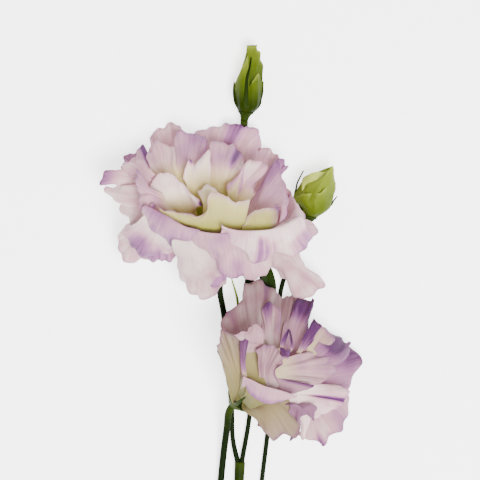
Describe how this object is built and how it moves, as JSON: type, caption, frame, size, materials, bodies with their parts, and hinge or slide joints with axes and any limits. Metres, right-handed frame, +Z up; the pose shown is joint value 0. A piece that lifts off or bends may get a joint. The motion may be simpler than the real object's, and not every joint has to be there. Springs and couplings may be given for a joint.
{
  "type": "lisianthus flower spray",
  "caption": "Cut lisianthus spray with ruffled double lavender blooms, green buds, thin stems and small leaves, lying on its side.",
  "frame": {"origin": "on the surface that the spray lies on, below the middle of its length and width", "axes": "+Y from the cut end towards the uppermost bud, +Z up from the surface, +X to the right as seen from above"},
  "size_m": [0.1028, 0.2498, 0.0531],
  "materials": {
    "petal": "matt, thin, veined petal, pinkish white with purple streaks and a yellow-green throat",
    "calyx": "satin green sepal",
    "stem": "smooth dark green stem",
    "leaf": "waxy dark green leaf",
    "bud": "satin yellow-green bud, darker at its base",
    "pistil": "pale green pistil",
    "anther": "powdery yellow anther on a pale filament"
  },
  "bodies": {
    "root": {"stem": "stem", "leaf_right": "leaf", "leaf_left": "leaf", "bracteole": "leaf", "main_bloom_petals": "petal", "main_bloom_calyx": "calyx", "main_bloom_pistil": "pistil", "main_bloom_stamens": "anther", "second_bloom_petals": "petal", "second_bloom_calyx": "calyx", "second_bloom_pistil": "pistil", "second_bloom_stamens": "anther", "top_bud_petals": "bud", "top_bud_calyx": "calyx", "side_bud_petals": "bud", "side_bud_calyx": "calyx"}
  },
  "joints": []
}
